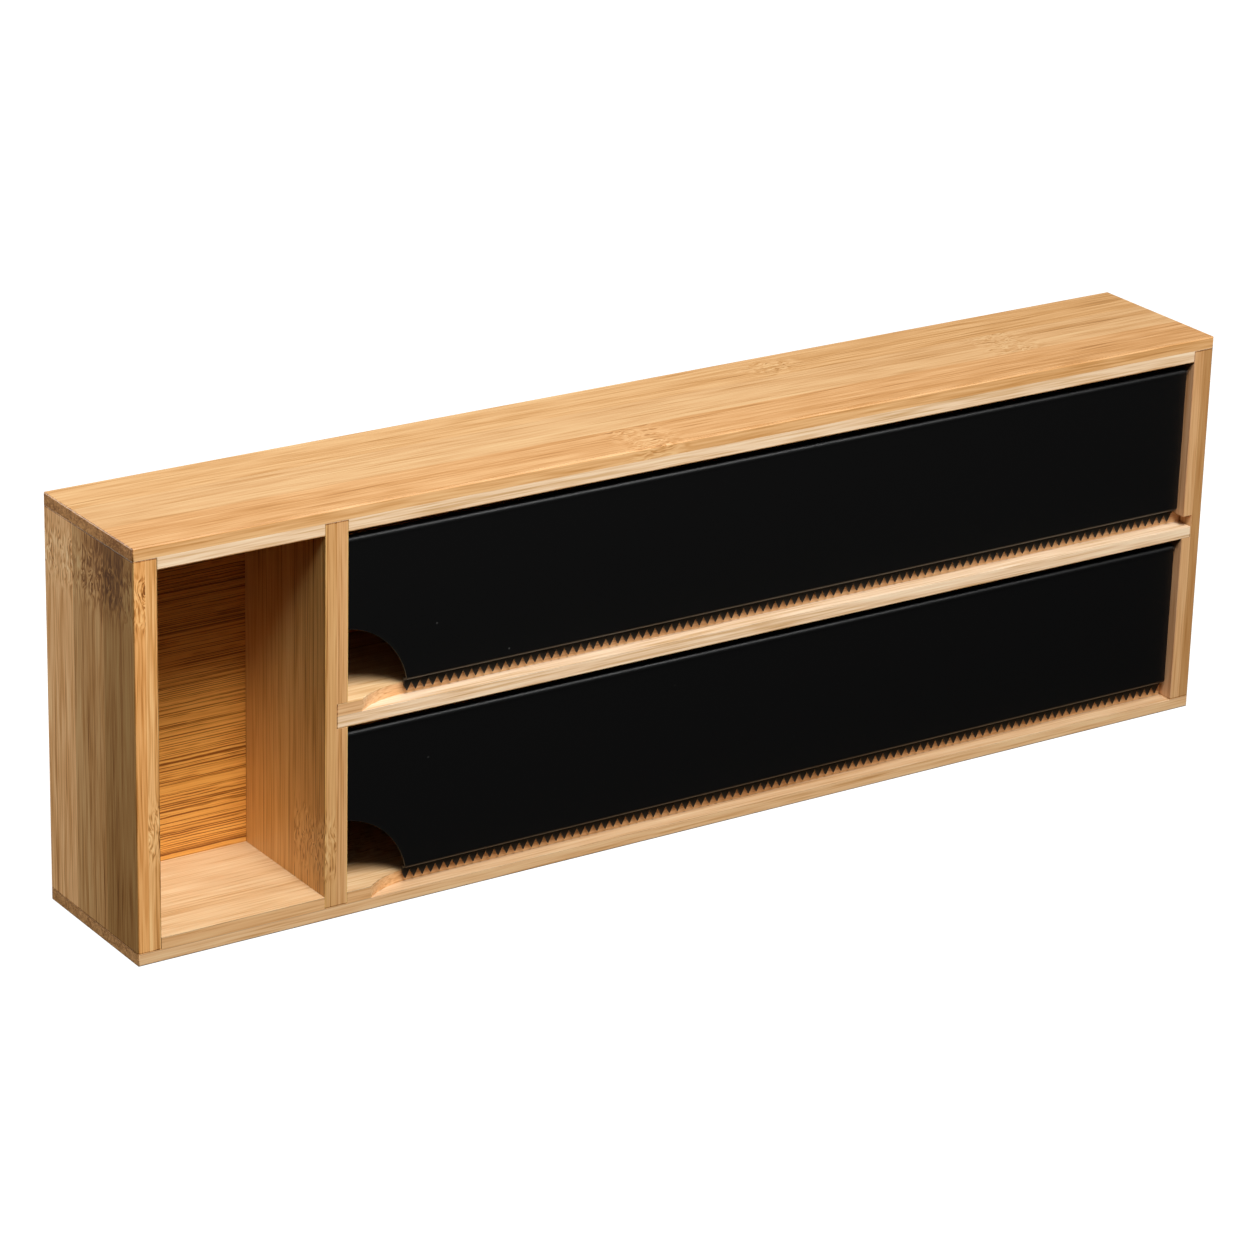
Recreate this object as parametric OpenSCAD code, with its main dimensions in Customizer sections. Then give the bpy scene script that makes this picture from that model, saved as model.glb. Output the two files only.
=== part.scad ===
// Bamboo wrap organizer: an open compartment beside two roll bays, each closed by a hinged flap
// with a toothed cutting lip. Millimetres, +Z up, front towards -Y, origin under the middle of the box.

/* [Box] */
// Outer length of the box
box_w = 411; // [380:1:460]
// Outer depth of the box, front to back
box_d = 57; // [50:1:75]
// Outer height of the box
box_h = 135; // [120:1:160]
// Thickness of the bamboo boards
board_t = 8; // [7:0.5:10]
// Clear width of the open compartment at the left
compartment_w = 57; // [45:1:80]
// Radius of the eased outer edges
arris_r = 0.6; // [0.3:0.1:1.2]

/* [Joints between boards] */
// Depth of the rabbets, dados and grooves
housing_depth = 3.8; // [3:0.1:4.5]
// Glue line on each face of a housed board
glue_line = 0.05; // [0.02:0.01:0.1]

/* [Back panel] */
// Thickness of the back panel
back_t = 5; // [4:0.5:6]
// Distance of the back panel from the back edges of the boards
back_inset = 2.5; // [1.5:0.5:4]
// Play of the back panel in its grooves, on each side
back_play = 0.15; // [0.05:0.05:0.3]

/* [Flaps] */
// Thickness of the coated sheet
sheet_t = 0.8; // [0.6:0.1:1.2]
// Distance of the flap's face behind the front of the box
flap_recess = 2.3; // [1.5:0.1:4]
// Gap between the flap's rolled edge and the board above it
flap_top_gap = 2.8; // [2:0.1:4]
// Gap between each end of the flap and the wood
flap_end_gap = 1; // [0.5:0.1:2]
// Height of the lower fold above the floor of the bay
fold_height = 3; // [2:0.1:4]
// Inside radius of the folds
fold_r = 0.6; // [0.3:0.1:0.8]
// Radius of the finger cut-out at the lower left corner
finger_r = 26; // [20:0.5:30]
// Distance of the cut-out's centre outside the left end of the flap
finger_out = 4; // [0:0.5:8]

/* [Cutting lip] */
// Angle by which the sheet is folded inwards before it goes down again
step_angle = 75; // [60:1:85]
// Distance of the lip's face behind the face of the flap
lip_setback = 2.4; // [2:0.1:3.5]
// Length of the lip below the step, down to the tips of the teeth
lip_len = 3.6; // [3.4:0.1:5]
// Spacing of the teeth
tooth_pitch = 3.125; // [2.5:0.125:4]
// Height of the teeth
tooth_h = 2.9; // [1.5:0.1:3.2]
// Least length of plain fold at the right end of the teeth
lip_relief = 0.3; // [0.2:0.1:4]

/* [Front rebate under the teeth] */
// Clearance between the teeth and the wall behind them
wall_clear = 0.6; // [0.4:0.1:1.5]
// Clearance between the tips of the teeth and the floor below them
floor_clear = 1.3; // [0.8:0.1:2]
// Radius of the cutter that leaves the rounded start of the rebate
cutter_r = 28; // [20:1:40]
// How much later the bottom board's rebate starts than the shelf's
base_shift = 3.5; // [0:0.5:4]

/* [Hinge rods] */
// Diameter of the hinge rod
rod_d = 2; // [1.6:0.1:2.5]
// Radial play between the rod and the rolled edge round it
roll_play = 0.03; // [0.02:0.01:0.08]
// Radial clearance of the rod in its holes in the wood
pivot_clear = 0.05; // [0.02:0.01:0.1]
// Length of rod in each hole
rod_grip = 4; // [3:0.5:5]
// Room past each end of the rod
rod_end_room = 0.4; // [0.3:0.1:0.8]
// Chamfer on the ends of the rod
rod_chamfer = 0.3; // [0.1:0.1:0.5]

/* [Hidden] */
$fn = 96;

BAMBOO = "#d8ab6c";
BAMBOO_DARK = "#a8763a";
COATED_BLACK = "#161616";
STEEL = "#b9bcc0";

// How far a cutter reaches past the face that it opens
over = 2;

// Outer faces of the box
left_x = -box_w / 2;
right_x = box_w / 2;
front_y = -box_d / 2;
back_y = box_d / 2;

// Wood that stays outside a rabbet, dado or groove
skin_t = board_t - housing_depth;

// Faces inside the box
compartment_x0 = left_x + board_t;
divider_x0 = compartment_x0 + compartment_w;
bay_x0 = divider_x0 + board_t;
bay_x1 = right_x - board_t;
bay_w = bay_x1 - bay_x0;
inner_z0 = board_t;
inner_z1 = box_h - board_t;
bay_h = (inner_z1 - inner_z0 - board_t) / 2;
shelf_z0 = inner_z0 + bay_h;
shelf_z1 = shelf_z0 + board_t;

// Ends of the boards that stand in the top and bottom boards
upright_z0 = skin_t + glue_line;
upright_z1 = box_h - skin_t - glue_line;

// Faces of the back panel, and the depth of the boards that stop at it
panel_y1 = back_y - back_inset;
panel_y0 = panel_y1 - back_t;
short_board_d = panel_y0 - glue_line - front_y;

// Rolled edge and hinge axis, the axis measured from the front and from the board above
rod_r = rod_d / 2;
roll_ri = rod_r + roll_play;
roll_r = roll_ri + sheet_t;
axis_y = front_y + flap_recess + roll_r;
axis_drop = flap_top_gap + roll_r;
upper_axis_z = inner_z1 - axis_drop;
lower_axis_z = shelf_z0 - axis_drop;

// Flap from its left end, with heights measured from the hinge axis
flap_x0 = bay_x0 + flap_end_gap;
flap_len = bay_w - 2 * flap_end_gap;
fold_z = fold_height - (bay_h - axis_drop);
fold_centre_y = fold_r - roll_ri;

// Step from the face to the lip: two bends of opposite turn with a flat between them
bend_w = 2 * fold_r + sheet_t;
step_len = (lip_setback - bend_w * (1 - cos(step_angle))) / sin(step_angle);
step_drop = bend_w * sin(step_angle) + step_len * cos(step_angle);
tip_drop = step_drop + lip_len;

// Where the finger cut-out, centred level with the tips of the teeth, meets the fold
finger_x = sqrt(finger_r * finger_r - tip_drop * tip_drop) - finger_out;
tooth_count = floor((flap_len - finger_x - lip_relief) / tooth_pitch);

// Rebate sized from the lip that hangs in it
rebate_d = flap_recess + lip_setback + sheet_t + wall_clear;
rebate_h = tip_drop - fold_height + floor_clear;
rebate_full_x = flap_x0 + finger_x;

module block(x, y, z) {
    translate([x[0], y[0], z[0]])
        cube([x[1] - x[0], y[1] - y[0], z[1] - z[0]]);
}

// Rectangle round the middle, with true arcs at its corners
module round_rect(w, h, r) {
    square([w - 2 * r, h], center = true);
    square([w, h - 2 * r], center = true);
    for (sx = [-1, 1], sy = [-1, 1])
        translate([sx * (w / 2 - r), sy * (h / 2 - r)])
            circle(r);
}

// The whole box as a block with eased edges, which trims the four outer boards
module eased_box() {
    intersection() {
        linear_extrude(box_h)
            round_rect(box_w, box_d, arris_r);
        translate([0, back_y, box_h / 2])
            rotate([90, 0, 0])
                linear_extrude(box_d)
                    round_rect(box_w, box_h, arris_r);
        translate([left_x, 0, box_h / 2])
            rotate([90, 0, 90])
                linear_extrude(box_w)
                    round_rect(box_d, box_h, arris_r);
    }
}

// Plate of the outer box, cut from the eased block
module outer_board(x, z) {
    intersection() {
        eased_box();
        block(x, [front_y - over, back_y + over], z);
    }
}

// Everything that is cut into the inner face of the top or bottom board.
// z runs from the bottom of the housings to past the inner face.
module lengthwise_housings(z) {
    for (x = [[left_x - over, compartment_x0 + glue_line], [bay_x1 - glue_line, right_x + over]])
        block(x, [front_y - over, back_y + over], z);
    block([divider_x0 - glue_line, bay_x0 + glue_line], [front_y - over, panel_y0], z);
    block([left_x + skin_t, right_x - skin_t], [panel_y0 - back_play, panel_y1 + back_play], z);
}

// Stopped rebate along the front of a bay floor, with the round start that the cutter leaves
module front_rebate(floor_z, full_x, end_x) {
    z = [floor_z - rebate_h, floor_z + over];
    translate([full_x, front_y + rebate_d - cutter_r, z[0]])
        cylinder(r = cutter_r, h = z[1] - z[0]);
    block([full_x, end_x], [front_y - over, front_y + rebate_d], z);
}

// Blind holes for both hinge rods, starting at the face of a wall and going the way of dir
module pivot_holes(face_x, dir) {
    depth = rod_grip + rod_end_room;
    for (z = [upper_axis_z, lower_axis_z])
        translate([face_x - dir * over, axis_y, z])
            rotate([0, dir * 90, 0])
                cylinder(r = rod_r + pivot_clear, h = depth + over);
}

// Dado for one end of the shelf, open at the front
module shelf_dado(x) {
    block(x, [front_y - over, panel_y0 + over], [shelf_z0 - glue_line, shelf_z1 + glue_line]);
}

// Groove for the back panel in the inner face of an upright
module panel_groove(x) {
    block(x, [panel_y0 - back_play, panel_y1 + back_play], [-over, box_h + over]);
}

module top_board() {
    color(BAMBOO)
        difference() {
            outer_board([left_x - over, right_x + over], [inner_z1, box_h + over]);
            lengthwise_housings([inner_z1 - over, box_h - skin_t]);
        }
}

module bottom_board() {
    color(BAMBOO)
        difference() {
            outer_board([left_x - over, right_x + over], [-over, inner_z0]);
            lengthwise_housings([skin_t, inner_z0 + over]);
            front_rebate(inner_z0, rebate_full_x + base_shift, bay_x1);
        }
}

module left_side() {
    color(BAMBOO)
        difference() {
            outer_board([left_x - over, compartment_x0], [upright_z0, upright_z1]);
            panel_groove([left_x + skin_t, compartment_x0 + over]);
        }
}

module right_side() {
    color(BAMBOO)
        difference() {
            outer_board([bay_x1, right_x + over], [upright_z0, upright_z1]);
            panel_groove([bay_x1 - over, right_x - skin_t]);
            shelf_dado([bay_x1 - over, right_x - skin_t + glue_line]);
            pivot_holes(bay_x1, 1);
        }
}

module divider() {
    color(BAMBOO)
        difference() {
            block([divider_x0, bay_x0], [front_y, front_y + short_board_d], [upright_z0, upright_z1]);
            shelf_dado([bay_x0 - housing_depth - glue_line, bay_x0 + over]);
            pivot_holes(bay_x0, -1);
        }
}

module shelf() {
    x = [bay_x0 - housing_depth, bay_x1 + housing_depth];
    color(BAMBOO)
        difference() {
            block(x, [front_y, front_y + short_board_d], [shelf_z0, shelf_z1]);
            front_rebate(shelf_z1, rebate_full_x, x[1] + over);
        }
}

module back_panel() {
    x = [left_x + skin_t + back_play, right_x - skin_t - back_play];
    z = [skin_t + back_play, box_h - skin_t - back_play];
    color(BAMBOO_DARK)
        block(x, [panel_y0, panel_y1], z);
}

// Bend of the sheet round the origin, from straight down at the left to the given angle
module bend(angle) {
    bend_r = fold_r + sheet_t;
    difference() {
        circle(bend_r);
        circle(fold_r);
        translate([-2 * bend_r, 0])
            square([4 * bend_r, 2 * bend_r]);
        rotate(angle)
            translate([-2 * bend_r, -2 * bend_r])
                square([4 * bend_r, 2 * bend_r]);
    }
}

// Section of the bent sheet, front towards -x, round the hinge axis at the origin
module flap_section() {
    difference() {
        circle(roll_r);
        circle(roll_ri);
        translate([-2 * roll_r, -2 * roll_r])
            square(2 * roll_r);
    }
    translate([-roll_r, fold_z])
        square([sheet_t, -fold_z]);
    translate([fold_centre_y, fold_z]) {
        bend(step_angle);
        rotate(step_angle) {
            translate([-fold_r - sheet_t, -step_len])
                square([sheet_t, step_len]);
            translate([-bend_w, -step_len]) {
                mirror([1, 0])
                    bend(step_angle);
                rotate(-step_angle)
                    translate([fold_r, -lip_len])
                        square([sheet_t, lip_len]);
            }
        }
    }
}

// Outline of what is cut off the lip: the gaps between the teeth and the slanted right end.
// x runs along the flap, y runs up the lip from the tips.
module tooth_gaps() {
    below = -2 * over;
    polygon(concat(
        [[finger_x - over, below], [finger_x - over, tooth_h], [finger_x, tooth_h]],
        [for (i = [0 : tooth_count - 1], s = [0.5, 1])
            [finger_x + (i + s) * tooth_pitch, s == 1 ? tooth_h : 0]],
        [[flap_len + over, lip_len], [flap_len + over, below]]
    ));
}

// One flap of bent sheet, hung from the hinge axis at the given height
module flap(axis_z) {
    deep = 2 * roll_r + lip_setback;
    translate([flap_x0, axis_y, axis_z])
        difference() {
            rotate([90, 0, 90])
                linear_extrude(flap_len)
                    flap_section();
            translate([0, deep, fold_z])
                rotate([90, 0, 0])
                    linear_extrude(2 * deep)
                        translate([0, -tip_drop]) {
                            translate([-finger_out, 0])
                                circle(finger_r);
                            tooth_gaps();
                        }
        }
}

// Hinge rod with chamfered ends, on the axis at the given height
module hinge_rod(axis_z) {
    rod_len = bay_w + 2 * rod_grip;
    translate([bay_x0 - rod_grip, axis_y, axis_z])
        rotate([0, 90, 0]) {
            cylinder(r1 = rod_r - rod_chamfer, r2 = rod_r, h = rod_chamfer);
            translate([0, 0, rod_chamfer])
                cylinder(r = rod_r, h = rod_len - 2 * rod_chamfer);
            translate([0, 0, rod_len - rod_chamfer])
                cylinder(r1 = rod_r, r2 = rod_r - rod_chamfer, h = rod_chamfer);
        }
}

module upper_flap() {
    color(COATED_BLACK) flap(upper_axis_z);
}

module lower_flap() {
    color(COATED_BLACK) flap(lower_axis_z);
}

module upper_hinge_rod() {
    color(STEEL) hinge_rod(upper_axis_z);
}

module lower_hinge_rod() {
    color(STEEL) hinge_rod(lower_axis_z);
}

top_board();
bottom_board();
left_side();
right_side();
divider();
shelf();
back_panel();
upper_flap();
lower_flap();
upper_hinge_rod();
lower_hinge_rod();
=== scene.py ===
# %% [markdown]
# # A bamboo wrap organizer
# The object is a glued bamboo box with an open compartment at the left and two roll bays at the right. Each
# bay is closed by a black coated flap that swings on a steel rod and ends in a toothed cutting lip. The
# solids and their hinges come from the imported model, so this lesson only sands, coats, lights and
# photographs them.

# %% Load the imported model
import math

import bmesh
import bpy
from mathutils import Euler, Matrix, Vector


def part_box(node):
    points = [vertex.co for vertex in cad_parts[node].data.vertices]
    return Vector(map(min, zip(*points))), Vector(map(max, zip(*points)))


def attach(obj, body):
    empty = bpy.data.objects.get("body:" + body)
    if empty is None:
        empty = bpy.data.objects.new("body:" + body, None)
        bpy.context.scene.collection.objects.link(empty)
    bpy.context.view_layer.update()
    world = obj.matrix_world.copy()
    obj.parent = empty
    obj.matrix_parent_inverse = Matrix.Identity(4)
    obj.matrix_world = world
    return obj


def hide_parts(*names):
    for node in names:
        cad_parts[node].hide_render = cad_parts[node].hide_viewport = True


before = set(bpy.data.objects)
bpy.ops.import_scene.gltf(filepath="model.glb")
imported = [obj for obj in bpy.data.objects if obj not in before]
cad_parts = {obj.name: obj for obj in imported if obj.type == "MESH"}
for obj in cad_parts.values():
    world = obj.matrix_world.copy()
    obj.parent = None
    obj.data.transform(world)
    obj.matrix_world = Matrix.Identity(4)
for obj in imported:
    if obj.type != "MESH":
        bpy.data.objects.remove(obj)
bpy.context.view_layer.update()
MM = 0.001
scene = bpy.context.scene

# %% [markdown]
# ## Camera
# The photograph was taken from the left and from above with a long lens. Its place and turn were worked out
# from the corners of the box: where the corners are known in millimetres and in pixels, only one camera fits.
# The camera is also turned a little about its own line of sight, which is why the uprights lean.

# %% Put the camera where the photographer stood
CAMERA_PLACE = Vector((-807.8, -1172.5, 621.4)) * MM
CAMERA_TURN = [math.radians(a) for a in (68.446, -1.469, -33.646)]
LENS_MM = 134.73

camera = bpy.data.objects.new("camera", bpy.data.cameras.new("camera"))
camera.data.lens = LENS_MM
camera.location = CAMERA_PLACE
camera.rotation_euler = CAMERA_TURN
scene.collection.objects.link(camera)
scene.camera = camera
print("Camera distance:", round(CAMERA_PLACE.length / MM), "mm")

# %% [markdown]
# ## Colour and nodes
# Colours are written as the hex values that a picture shows, and a shader works in linear light, so one
# function converts them. A second function adds a shader node, sets it and links it, and every finish below
# is built from it.

# %% Helpers for colours and nodes
def linear(code):
    """A hex colour as linear light with full alpha."""
    parts = [int(code[i:i + 2], 16) / 255 for i in (1, 3, 5)]
    return [p / 12.92 if p <= 0.04045 else ((p + 0.055) / 1.055) ** 2.4 for p in parts] + [1.0]


def add(tree, kind, inputs=None, **settings):
    """A shader node with its settings. An input is a value, a socket, or a node for its first output."""
    node = tree.nodes.new("ShaderNode" + kind)
    for name, value in settings.items():
        setattr(node, name, value)
    for key, value in (inputs or {}).items():
        source = value.outputs[0] if isinstance(value, bpy.types.Node) else value
        if isinstance(source, bpy.types.NodeSocket):
            tree.links.new(source, node.inputs[key])
        else:
            node.inputs[key].default_value = source
    return node


def new_material(name):
    """An empty node material, and its output node."""
    material = bpy.data.materials.new(name)
    material.use_nodes = True
    material.node_tree.nodes.clear()
    return material, add(material.node_tree, "OutputMaterial")


print("White as linear light:", linear("#ffffff"))

# %% [markdown]
# ## Lamps
# In the photograph the top is brightest, the front edges come next, and the left side lies in shade. The
# shadows in the compartment and in the finger gaps fall steeply backwards and have soft edges. One lamp high
# in front and a little to the left gives all that: its height sets how steeply the shadows fall, and its size
# how soft they are. A weaker lamp behind at the left lights the left side and the back. A small lamp, low at
# the front right, draws the soft line along the flaps' rolled edges, because a roll mirrors a lamp as a
# line. It has to stay low, or the boards above the flaps would shade the rolls.

# %% Set the lamps
LAMPS = {
    "key_lamp": {"place": (-220, -715, 1275), "size": 520, "power": 30.4},
    "side_lamp": {"place": (-800, 800, 400), "size": 500, "power": 8.6},
    "edge_lamp": {"place": (490, -650, 740), "size": 230, "power": 2.1},
}
for name, lamp in LAMPS.items():
    light = bpy.data.objects.new(name, bpy.data.lights.new(name, "AREA"))
    light.data.size = lamp["size"] * MM
    light.data.energy = lamp["power"]
    light.location = Vector(lamp["place"]) * MM
    light.rotation_euler = (-light.location).to_track_quat("-Z", "Y").to_euler()
    scene.collection.objects.link(light)
print("Lamps:", list(LAMPS))

# %% [markdown]
# ## Sky
# The black flaps mirror what lies low in front of them, and in the photograph that is dark. So the sky is
# dark near the horizon and pale overhead. Only the camera sees it white, as the paper behind the box is.

# %% Hang the sky
SKY_LOW = 0.0
SKY_HIGH = 0.32
DARK_BELOW = 0.1
PALE_ABOVE = 0.85
sky = bpy.data.worlds.new("studio")
scene.world = sky
sky.use_nodes = True
sky.node_tree.nodes.clear()
direction = add(sky.node_tree, "TexCoord").outputs["Generated"]
height = add(sky.node_tree, "SeparateXYZ", {0: direction}).outputs["Z"]
shade = add(sky.node_tree, "MapRange", {"Value": height, "From Min": DARK_BELOW, "From Max": PALE_ABOVE,
                                        "To Min": SKY_LOW, "To Max": SKY_HIGH})
seen = add(sky.node_tree, "LightPath").outputs["Is Camera Ray"]
strength = add(sky.node_tree, "Math", {0: shade, 1: seen}, operation="MAXIMUM")
dome = add(sky.node_tree, "Background", {"Color": linear("#ffffff"), "Strength": strength})
add(sky.node_tree, "OutputWorld", {"Surface": dome})
scene.view_settings.view_transform = "Standard"
print("Sky from", SKY_LOW, "below to", SKY_HIGH, "above")

# %% [markdown]
# ## Floor
# The box stands on seamless white paper. The paper glows a little, so that it stays white up to the edge of
# the picture and the shadow on it stays faint. It is hidden from the box's own light and mirror rays: white
# paper would light up the front and the flaps from below, and in the photograph they are not lit from there.

# %% Lay the floor
FLOOR_SIZE = 8000 * MM
PAPER_GREY = "#6a6a6a"
PAPER_ROUGHNESS = 0.9
PAPER_GLOW = 0.95

sheet = bmesh.new()
bmesh.ops.create_grid(sheet, x_segments=1, y_segments=1, size=FLOOR_SIZE / 2)
floor = bpy.data.objects.new("floor", bpy.data.meshes.new("floor"))
sheet.to_mesh(floor.data)
sheet.free()
scene.collection.objects.link(floor)
floor.visible_diffuse = False
floor.visible_glossy = False
paper, out = new_material("white studio paper")
skin = add(paper.node_tree, "BsdfPrincipled", {
    "Base Color": linear(PAPER_GREY),
    "Roughness": PAPER_ROUGHNESS,
    "Emission Color": linear("#ffffff"),
    "Emission Strength": PAPER_GLOW,
})
paper.node_tree.links.new(skin.outputs[0], out.inputs["Surface"])
floor.data.materials.append(paper)
print("Floor of", FLOOR_SIZE, "m")

# %% [markdown]
# ## Sanded pieces
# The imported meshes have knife-sharp edges, and no real edge is sharp: a sanded board has an edge that is
# eased by a fraction of a millimetre, and it shows as a thin light line. A bevel modifier could ease it, but
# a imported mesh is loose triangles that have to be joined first. So a copy of each mesh is merged, bevelled
# along its sharp edges by a mesh operator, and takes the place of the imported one.

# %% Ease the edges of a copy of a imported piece
MERGE = 0.001 * MM
FLAT_ANGLE = math.radians(0.5)
SHARP_ANGLE = math.radians(40)


def eased_copy(node, name, body, width):
    """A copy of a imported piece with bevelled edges, riding on its body in its place."""
    shape = bmesh.new()
    shape.from_mesh(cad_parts[node].data)
    bmesh.ops.remove_doubles(shape, verts=shape.verts, dist=MERGE)
    bmesh.ops.dissolve_limit(shape, angle_limit=FLAT_ANGLE, verts=shape.verts, edges=shape.edges)
    sharp = [e for e in shape.edges if e.is_manifold and e.calc_face_angle() > SHARP_ANGLE]
    bmesh.ops.bevel(shape, geom=sharp, offset=width, offset_type="OFFSET", affect="EDGES", segments=2,
                    profile=0.5, material=-1, clamp_overlap=True)
    for face in shape.faces:
        face.smooth = True
    piece = bpy.data.objects.new(name, bpy.data.meshes.new(name))
    shape.to_mesh(piece.data)
    shape.free()
    scene.collection.objects.link(piece)
    piece.modifiers.new("flat faces stay flat", "WEIGHTED_NORMAL")
    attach(piece, body)
    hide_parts(node)
    print(name, len(piece.data.polygons), "faces,", len(sharp), "edges eased")
    return piece


# %% [markdown]
# ## Bamboo
# Boards of bamboo are glued from flat strips about 19 mm wide, in two plies of 4 mm. Each strip has its own
# tone, fine fibres run along it, and now and then it crosses a joint of the cane, where the fibres sway and
# break into short strokes, dark and light. A picture of wood would need an image, so all of it is worked out
# here, in millimetres in the board's own directions: a tone from 0 to 1 first, and its colour at the end.

# %% Directions of a board
GRAIN_TURN = {
    "lengthwise": Euler((0, 0, 0)),
    "upright": Euler((0, math.radians(90), 0)),
    "back": Euler((math.radians(-90), 0, 0)),
}


def grain_space(tree, node, grain):
    """Millimetres from a corner of the board: x along the grain, y across the strips, z through the plies.
    The board's size in those directions comes with them."""
    turn = GRAIN_TURN[grain]
    ends = list(zip(*(turn.to_matrix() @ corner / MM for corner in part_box(node))))
    start = [-min(pair) for pair in ends]
    size = [max(pair) - min(pair) for pair in ends]
    place = add(tree, "TexCoord").outputs["Object"]
    scale = [1 / MM] * 3
    return add(tree, "Mapping", {"Vector": place, "Location": start, "Rotation": turn, "Scale": scale}), size


print("Grain runs", ", ".join(GRAIN_TURN))

# %% [markdown]
# ### Strips and plies
# A board is pressed from strips that lie side by side, in two plies. Each strip was split from another cane,
# so it has a tone of its own, and its fibres don't run on into its neighbour. The numbers of the strip and
# of the ply, put through white noise, give each strip a random value that is the same in every render.

# %% Number the strips and plies
STRIP_W = 19.4
STRIP_START = 0.5
PLY_T = 4.0


def strips(tree, axes, seed):
    """The number of the strip and of the ply at each point, and a chance that each strip draws."""
    ply = add(tree, "Math", {0: axes["Z"], 1: PLY_T}, operation="GREATER_THAN")
    across = {0: axes["Y"], 1: 1 / STRIP_W, 2: STRIP_START / STRIP_W}
    lane = add(tree, "Math", across, operation="MULTIPLY_ADD")
    strip = add(tree, "Math", {0: lane}, operation="FLOOR")
    key = add(tree, "CombineXYZ", {0: strip, 1: ply, 2: seed})
    chance = add(tree, "TexWhiteNoise", {"Vector": key}, noise_dimensions="3D").outputs["Color"]
    return strip, ply, chance


print("Strips of", STRIP_W, "mm in plies of", PLY_T, "mm")

# %% [markdown]
# ### Joints of the cane
# A cane is hollow, with a wall at every joint. On a split strip a joint shows as a short stretch of swirling
# fibres. Neighbouring strips have theirs at other places, so the place is worked out from the numbers of
# the strip and the ply, and it comes again as often as joints do along a cane.

# %% Find the joints of the cane
CANE_JOINT_SPACING = 520.0
CANE_JOINT_HALF = 15.0
CANE_JOINT_CORE = 2.0


def cane_joint(tree, axes, strip, ply, joint):
    """How near the joint of the cane is, from 0 to 1. Its place steps from strip to strip and ply to ply."""
    first, strip_step, ply_step = joint
    place = add(tree, "Math", {0: strip, 1: strip_step, 2: first}, operation="MULTIPLY_ADD")
    place = add(tree, "Math", {0: ply, 1: ply_step, 2: place}, operation="MULTIPLY_ADD")
    offset = add(tree, "Math", {0: axes["X"], 1: place}, operation="SUBTRACT")
    half = CANE_JOINT_SPACING / 2
    offset = add(tree, "Math", {0: offset, 1: half, 2: -half}, operation="WRAP")
    distance = add(tree, "Math", {0: offset}, operation="ABSOLUTE")
    inputs = {"Value": distance, "From Min": CANE_JOINT_HALF, "From Max": CANE_JOINT_CORE}
    return add(tree, "MapRange", inputs, interpolation_type="SMOOTHSTEP")


print("A joint of the cane every", CANE_JOINT_SPACING, "mm")

# %% [markdown]
# ### Fibres
# Bamboo has no year rings, only straight fibres. Noise that is stretched along the grain looks like them:
# its grains are many times longer than they are thick, and both sizes are given in millimetres.

# %% Draw fibres
SHIFT = 400.0


def fibres(tree, space, chance, sizes):
    """Noise whose grains have the given sizes in millimetres, moved along by each strip's chance."""
    shift = add(tree, "VectorMath", {0: chance, 1: [SHIFT] * 3, 2: space}, operation="MULTIPLY_ADD")
    scaled = add(tree, "VectorMath", {0: shift, 1: [1 / s for s in sizes]}, operation="MULTIPLY")
    return add(tree, "TexNoise", {"Vector": scaled, "Scale": 1.0, "Detail": 1.0})


print("Each strip's fibres are moved by up to", SHIFT, "mm")

# %% [markdown]
# ### Faces, ends and edges
# The wide faces, the sawn ends and the long edges of a board differ in colour. Which of them a point lies on
# follows from how near it is to the board's outside, so no face has to be picked by hand.

# %% Tell the outer faces from the rest
RIM = 0.3


def at_rims(tree, distance, size):
    """1 on the two outer faces across one direction of the board, and 0 between them."""
    middle = add(tree, "Math", {0: distance, 1: size / 2}, operation="SUBTRACT")
    off = add(tree, "Math", {0: middle}, operation="ABSOLUTE")
    return add(tree, "Math", {0: off, 1: size / 2 - RIM}, operation="GREATER_THAN")


print("A face is", RIM, "mm deep")

# %% [markdown]
# ### Soft spots
# Three things keep to one place on a board: a stain, a patch of painted shade, and a joint of the cane that
# falls out of its row. All are patches without a hard rim, so one function draws the patch, and the tone
# below decides what it does.

# %% Draw a soft spot
SPOT_CORE = 0.2


def soft_spot(tree, space, place, reach):
    """A soft patch on a board, its place and reach in millimetres: 0 at its rim and 1 in its core."""
    moved = add(tree, "VectorMath", {0: space, 1: place}, operation="SUBTRACT")
    scaled = add(tree, "VectorMath", {0: moved, 1: [1 / r for r in reach]}, operation="MULTIPLY")
    distance = add(tree, "VectorMath", {0: scaled}, operation="LENGTH").outputs["Value"]
    inputs = {"Value": distance, "From Min": 1.0, "From Max": SPOT_CORE}
    return add(tree, "MapRange", inputs, interpolation_type="SMOOTHSTEP")


print("The core of a soft spot is", SPOT_CORE, "of its reach")

# %% [markdown]
# ### The tone of the grain
# All of it is added up to one tone, where 0.5 stands for the board's own colour. Adding numbers is simpler
# than mixing colours, and each part's weight says how strongly it shows. Real fibres are about 0.3 mm thick.
# Those that cover a board here are 0.55 mm or more, because thinner ones vanish in the picture.

# %% Add up the tone of the grain
FIBRE_SIZES = {"fine": (20.0, 0.55, 0.55), "mid": (60.0, 1.4, 1.4), "broad": (180.0, 5.0, 5.0)}
FIBRE_WEIGHTS = {"fine": 0.50, "mid": 0.28, "broad": 0.22}
STRIP_WEIGHT = 0.10
LINE_FULL = 0.68
STROKE_SIZE = (5.0, 0.6, 0.6)
STROKE_DARK = 0.40
STROKE_LIGHT = 0.58
STROKE_TONE = 0.8
END_GRAIN_DEPTH = 0.33
SWAY_SIZE = (10.0, 5.0, 5.0)
SWAY = 3.5


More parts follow.
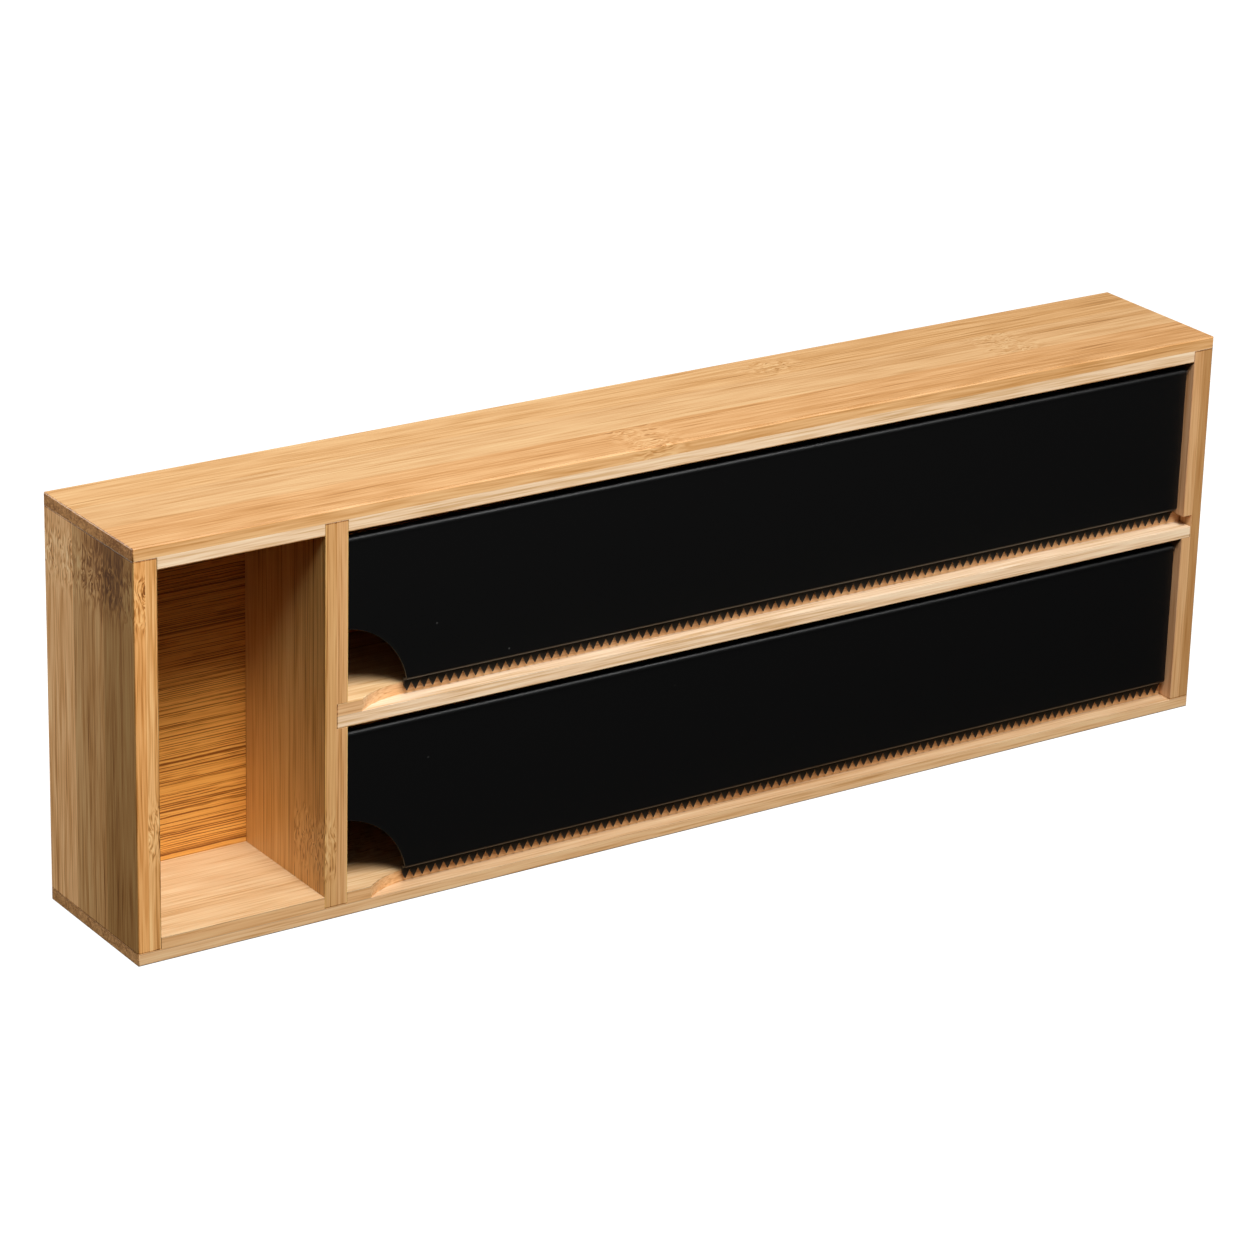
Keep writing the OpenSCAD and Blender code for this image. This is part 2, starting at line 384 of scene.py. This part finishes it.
def grain_tone(tree, space, axes, size, look):
    """One tone from strips, fibres, lines and joints of the cane. 0.5 is the board's own colour."""
    contrast = look["contrast"]
    strip, ply, chance = strips(tree, axes, look["seed"])
    near = cane_joint(tree, axes, strip, ply, look["joint"])
    if "extra_joint" in look:
        extra = soft_spot(tree, space, *look["extra_joint"])
        near = add(tree, "Math", {0: near, 1: extra}, operation="MAXIMUM")
    loose = add(tree, "Math", {0: near, 1: look["wander"]}, operation="MAXIMUM")
    wave = fibres(tree, space, chance, SWAY_SIZE)
    wave = add(tree, "MapRange", {"Value": wave, "To Min": -SWAY, "To Max": SWAY})
    sway = add(tree, "Math", {0: wave, 1: loose}, operation="MULTIPLY")
    sideways = add(tree, "CombineXYZ", {1: sway, 2: sway})
    bent = add(tree, "VectorMath", {0: space, 1: sideways}, operation="ADD")

    stroke = fibres(tree, bent, chance, STROKE_SIZE)
    stroke = add(tree, "MapRange", {"Value": stroke, "From Min": STROKE_DARK, "From Max": STROKE_LIGHT,
                                    "To Min": -STROKE_TONE, "To Max": STROKE_TONE})
    line = fibres(tree, bent, chance, (look["line_length"], look["line_w"], look["line_w"]))
    line = add(tree, "MapRange", {"Value": line, "From Min": look["line_from"], "From Max": LINE_FULL})
    parts = [
        (add(tree, "Math", {0: stroke, 1: near}, operation="MULTIPLY"), look["joint_depth"]),
        (line, -look["line_depth"]),
        (at_rims(tree, axes["X"], size[0]), -END_GRAIN_DEPTH),
        (chance, STRIP_WEIGHT * contrast),
    ]
    # This spot is a real stain on the left side, and painted shade on the top and the bottom board.
    if "stain_and_painted_shade" in look:
        place, reach, depth = look["stain_and_painted_shade"]
        parts.append((soft_spot(tree, space, place, reach), -depth))
    noises = {name: fibres(tree, bent, chance, sizes) for name, sizes in FIBRE_SIZES.items()}
    parts += [(noises[name], weight * contrast) for name, weight in FIBRE_WEIGHTS.items()]

    # Strips and noises have their middle at 0.5, so half of their weight is taken off the start
    tone = 0.5 - contrast * (STRIP_WEIGHT + sum(FIBRE_WEIGHTS.values())) / 2
    for part, weight in parts:
        tone = add(tree, "Math", {0: part, 1: weight, 2: tone}, operation="MULTIPLY_ADD")
    return tone, noises["fine"]


print("Fibres in millimetres:", FIBRE_SIZES)

# %% [markdown]
# ### Colours
# Dark fibres of bamboo are redder than the board, and light ones are paler. A ramp turns the tone into such a
# colour, divided by the mean, so that any board's own colour can be multiplied by it. That colour changes
# with hard steps, from strip to strip on a face and from ply to ply on an edge, so it has a stepped ramp.

# %% Turn the tone into a colour
GRAIN_MEAN = "#e0b078"
GRAIN_TONES = {0.0: "#825325", 0.3: "#c99458", 0.5: GRAIN_MEAN, 0.75: "#ebc38b", 1.0: "#f2d2a0"}


def grain_colour(tree, tone):
    """The tone as a colour to multiply by: dark fibres are redder and light ones paler than the mean."""
    ramp = add(tree, "ValToRGB", {"Fac": tone})
    stops = ramp.color_ramp.elements
    while len(stops) < len(GRAIN_TONES):
        stops.new(0.5)
    for stop, (place, code) in zip(stops, GRAIN_TONES.items()):
        stop.position = place
        stop.color = [a / b for a, b in zip(linear(code), linear(GRAIN_MEAN))]
    return ramp


print("Tones from", GRAIN_TONES[0.0], "to", GRAIN_TONES[1.0])

# %% Step from colour to colour
def stepped(tree, distance, size, colours):
    """Colours that each start at their own place in millimetres along one direction of the board."""
    place = add(tree, "MapRange", {"Value": distance, "From Max": size})
    ramp = add(tree, "ValToRGB", {"Fac": place})
    ramp.color_ramp.interpolation = "CONSTANT"
    stops = ramp.color_ramp.elements
    stops.remove(stops[1])
    for start, code in colours.items():
        stop = stops.new(start / size) if start else stops[0]
        stop.color = linear(code)
    return ramp


# %% [markdown]
# ### The finish
# The boards are sanded and oiled, not varnished. Oil leaves them satin: the fibres stand out by a few
# hundredths of a millimetre and shine a little more or less than what lies between them. So the finest
# fibres also set the roughness and a faint bump. A plain look has weak lines and joints, and each board
# below only names what it has otherwise.

# %% Finish one board
PLAIN_LOOK = {"contrast": 1.0, "wander": 0.0, "joint_depth": 0.2, "line_w": 0.8, "line_length": 60.0,
              "line_from": 0.56, "line_depth": 0.06}
OIL_IOR = 1.5
SATIN_ROUGHNESS = (0.36, 0.56)
FIBRE_DEPTH = 0.05 * MM
FIBRE_RELIEF = 0.25


def bamboo(node, look):
    """Strip-laminated bamboo, sanded and oiled: a satin surface with warm strips and fine fibres."""
    look = {**PLAIN_LOOK, **look}
    material, out = new_material("oiled bamboo " + node)
    tree = material.node_tree
    space, size = grain_space(tree, node, look["grain"])
    axes = add(tree, "SeparateXYZ", {0: space}).outputs
    face = at_rims(tree, axes["Z"], size[2])
    tone, fine = grain_tone(tree, space, axes, size, look)
    strip_colour = stepped(tree, axes["Y"], size[1], look["face"])
    ply_colour = stepped(tree, axes["Z"], size[2], look["edges"])
    cane = add(tree, "Mix", {"Factor": face, "A": ply_colour, "B": strip_colour}, data_type="RGBA")
    colour = add(tree, "Mix", {"Factor": 1.0, "A": cane.outputs["Result"], "B": grain_colour(tree, tone)},
                 data_type="RGBA", blend_type="MULTIPLY")
    rough_min, rough_max = SATIN_ROUGHNESS
    gloss = add(tree, "MapRange", {"Value": fine, "To Min": rough_min, "To Max": rough_max})
    bump = add(tree, "Bump", {"Height": fine, "Strength": FIBRE_RELIEF, "Distance": FIBRE_DEPTH})
    skin = add(tree, "BsdfPrincipled", {"Base Color": colour.outputs["Result"], "Roughness": gloss,
                                        "Normal": bump, "IOR": OIL_IOR})
    tree.links.new(skin.outputs[0], out.inputs["Surface"])
    print(material.name, "made of", len(tree.nodes), "nodes")
    return material


# %% [markdown]
# ## Boards
# The boards come from different canes, and an edge shows the two plies, often in two colours. So each board
# has colours for the strips of its faces and for the plies at its edges, each with the place in millimetres
# where it starts. On the left side the strips grow darker towards the front: partly their own tones, and
# partly painted shade for light that falls off towards the front. At 3.8 mm, under the rebates in which the
# teeth hang, the glue between the plies shows as a greyer floor. Where the photograph shows a joint of the
# cane, that board's joint is put there: its first place in millimetres, then the step to the next strip and
# to the next ply. A stain and a patch of painted shade are each a place, a reach and a depth: a strong stain
# darkens the top of the left side, and faint painted shade darkens the right end of the top, where the light
# falls off, and the wood behind the lower finger gap, which lies in shade. The back panel comes from another
# sheet: it is darker, with close dark lines, and its fibres wander a little.

# %% Make the boards
EASE = 0.12 * MM
BOARDS = {
    "top_board": {
        "grain": "lengthwise", "seed": 1, "contrast": 1.3, "joint": (445, 159, -260),
        "extra_joint": ((261, 46, 8), (16, 10, 20)),
        "face": {0: "#c09363", 19: "#bd9466", 38.3: "#c19767"},
        "edges": {0: "#edcca6", 4: "#e3b077"},
        # Painted shade: the top grows darker towards its right end, where the light falls off.
        "stain_and_painted_shade": ((411, 28, 8), (260, 80, 20), 0.07),
    },
    "bottom_board": {
        "grain": "lengthwise", "seed": 2, "contrast": 1.4, "joint": (465, 150, 0),
        "face": {0: "#caa57a"},
        "edges": {0: "#e3b583", 3.8: "#c39e77", 4: "#e1ae78"},
        # Painted shade: the wood behind the lower finger gap is darker and redder, as it lies in shade there.
        "stain_and_painted_shade": ((87, 20, 8), (34, 40, 2), 0.03),
    },
    "left_side": {
        "grain": "upright", "seed": 3, "contrast": 1.95, "joint": (39, 0, 75), "joint_depth": 0.32,
        # The strips darken towards the front: partly their own tones, partly painted shade where the light
        # falls off.
        "face": {0: "#a67a44", 19: "#c89962", 38.3: "#ebb77e"},
        "edges": {0: "#ecb373", 4: "#eaaa66"},
        "stain_and_painted_shade": ((122, 17, 8), (26, 20, 20), 0.38),
    },
    "right_side": {
        "grain": "upright", "seed": 4, "contrast": 1.3, "joint": (-70, 150, 0),
        "face": {0: "#c49267"},
        "edges": {0: "#bd8a54", 4: "#d6a470"},
    },
    "divider": {
        "grain": "upright", "seed": 5, "contrast": 1.25, "joint": (-180, 150, 200), "joint_depth": 0.25,
        "face": {0: "#ddaf6b"},
        "edges": {0: "#dba770", 4: "#d5a167"},
        "line_w": 0.5, "line_depth": 0.28, "line_length": 120.0,
    },
    "shelf": {
        "grain": "lengthwise", "seed": 6, "contrast": 1.5, "joint": (430, 150, 0),
        "face": {0: "#d3ac7d"},
        "edges": {0: "#efcda7", 3.8: "#d7bb9c", 4: "#dead7b"},
    },
    "back_panel": {
        "grain": "back", "seed": 7, "contrast": 0.8, "joint": (-100, 0, 0), "wander": 0.05,
        "face": {0: "#e9a64e"},
        "edges": {0: "#cb8f47"},
        "line_w": 0.34, "line_from": 0.46, "line_depth": 0.68, "line_length": 160.0,
    },
}
for node, look in BOARDS.items():
    board = eased_copy(node, "sanded_" + node, "box", EASE)
    board.data.materials.append(bamboo(node, look))

# %% [markdown]
# ## Coated flaps
# The flaps are steel sheet with a black powder coat: baked powder leaves a satin skin, very slightly pebbled,
# and a few specks of dust lie on it. The specks are the middles of scattered cells, so they need no picture.

# %% Coat the flaps
SHEET_EASE = 0.12 * MM
COAT_BLACK = "#090909"
COAT_ROUGHNESS = 0.38
PEBBLE = 0.9 * MM
PEBBLE_DEPTH = 0.02 * MM
PEBBLE_RELIEF = 0.1
DUST_CELL = 12 * MM
DUST_SIZE = 0.4 * MM
DUST_GREY = "#444442"


def powder_coat():
    """Black powder coat: deep black and satin, with the faint pebble of baked powder and a little dust."""
    material, out = new_material("black powder coat")
    tree = material.node_tree
    place = add(tree, "TexCoord").outputs["Object"]
    pebble = add(tree, "TexNoise", {"Vector": place, "Scale": 1 / PEBBLE, "Detail": 1.0})
    bump = add(tree, "Bump", {"Height": pebble, "Strength": PEBBLE_RELIEF, "Distance": PEBBLE_DEPTH})
    cells = add(tree, "TexVoronoi", {"Vector": place, "Scale": 1 / DUST_CELL})
    size = DUST_SIZE / DUST_CELL
    distance = cells.outputs["Distance"]
    speck = add(tree, "MapRange", {"Value": distance, "From Min": size, "From Max": size / 2})
    some = add(tree, "SeparateColor", {0: cells.outputs["Color"]}).outputs["Red"]
    dust = add(tree, "Math", {0: speck, 1: some}, operation="MULTIPLY")
    colour = add(tree, "Mix", {"Factor": dust, "A": linear(COAT_BLACK), "B": linear(DUST_GREY)},
                 data_type="RGBA")
    skin = add(tree, "BsdfPrincipled", {"Base Color": colour.outputs["Result"], "Roughness": COAT_ROUGHNESS,
                                        "Normal": bump})
    tree.links.new(skin.outputs[0], out.inputs["Surface"])
    return material


coat = powder_coat()
for level in ("upper", "lower"):
    body = level + "_flap_assembly"
    flap = eased_copy(level + "_flap", f"coated_{level}_flap", body, SHEET_EASE)
    flap.data.materials.append(coat)

# %% [markdown]
# ## Hinge rods
# Each flap turns on a rod of drawn steel wire inside its rolled edge. Only the rod's ends can be seen, in the
# narrow gaps beside the flap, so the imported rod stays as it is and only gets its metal. Scratches from the
# die it was drawn through are finer than 0.15 mm, and they are drawn that wide so that they show at all.

# %% Give the rods their metal
SCRATCH = (8 * MM, 0.15 * MM, 0.15 * MM)
WIRE_GREY = "#c3c5c8"
WIRE_ROUGHNESS = (0.2, 0.42)


def drawn_steel():
    """Drawn steel wire: bright metal with fine scratches along the wire from the die."""
    material, out = new_material("drawn steel wire")
    tree = material.node_tree
    place = add(tree, "TexCoord").outputs["Object"]
    along = add(tree, "Mapping", {"Vector": place, "Scale": [1 / s for s in SCRATCH]})
    scratch = add(tree, "TexNoise", {"Vector": along, "Scale": 1.0})
    rough_min, rough_max = WIRE_ROUGHNESS
    gloss = add(tree, "MapRange", {"Value": scratch, "To Min": rough_min, "To Max": rough_max})
    skin = add(tree, "BsdfPrincipled", {"Base Color": linear(WIRE_GREY), "Metallic": 1.0, "Roughness": gloss})
    tree.links.new(skin.outputs[0], out.inputs["Surface"])
    return material


steel = drawn_steel()
for level in ("upper", "lower"):
    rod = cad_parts[level + "_hinge_rod"]
    rod.data.materials.clear()
    rod.data.materials.append(steel)
    print(rod.name, "is", steel.name)
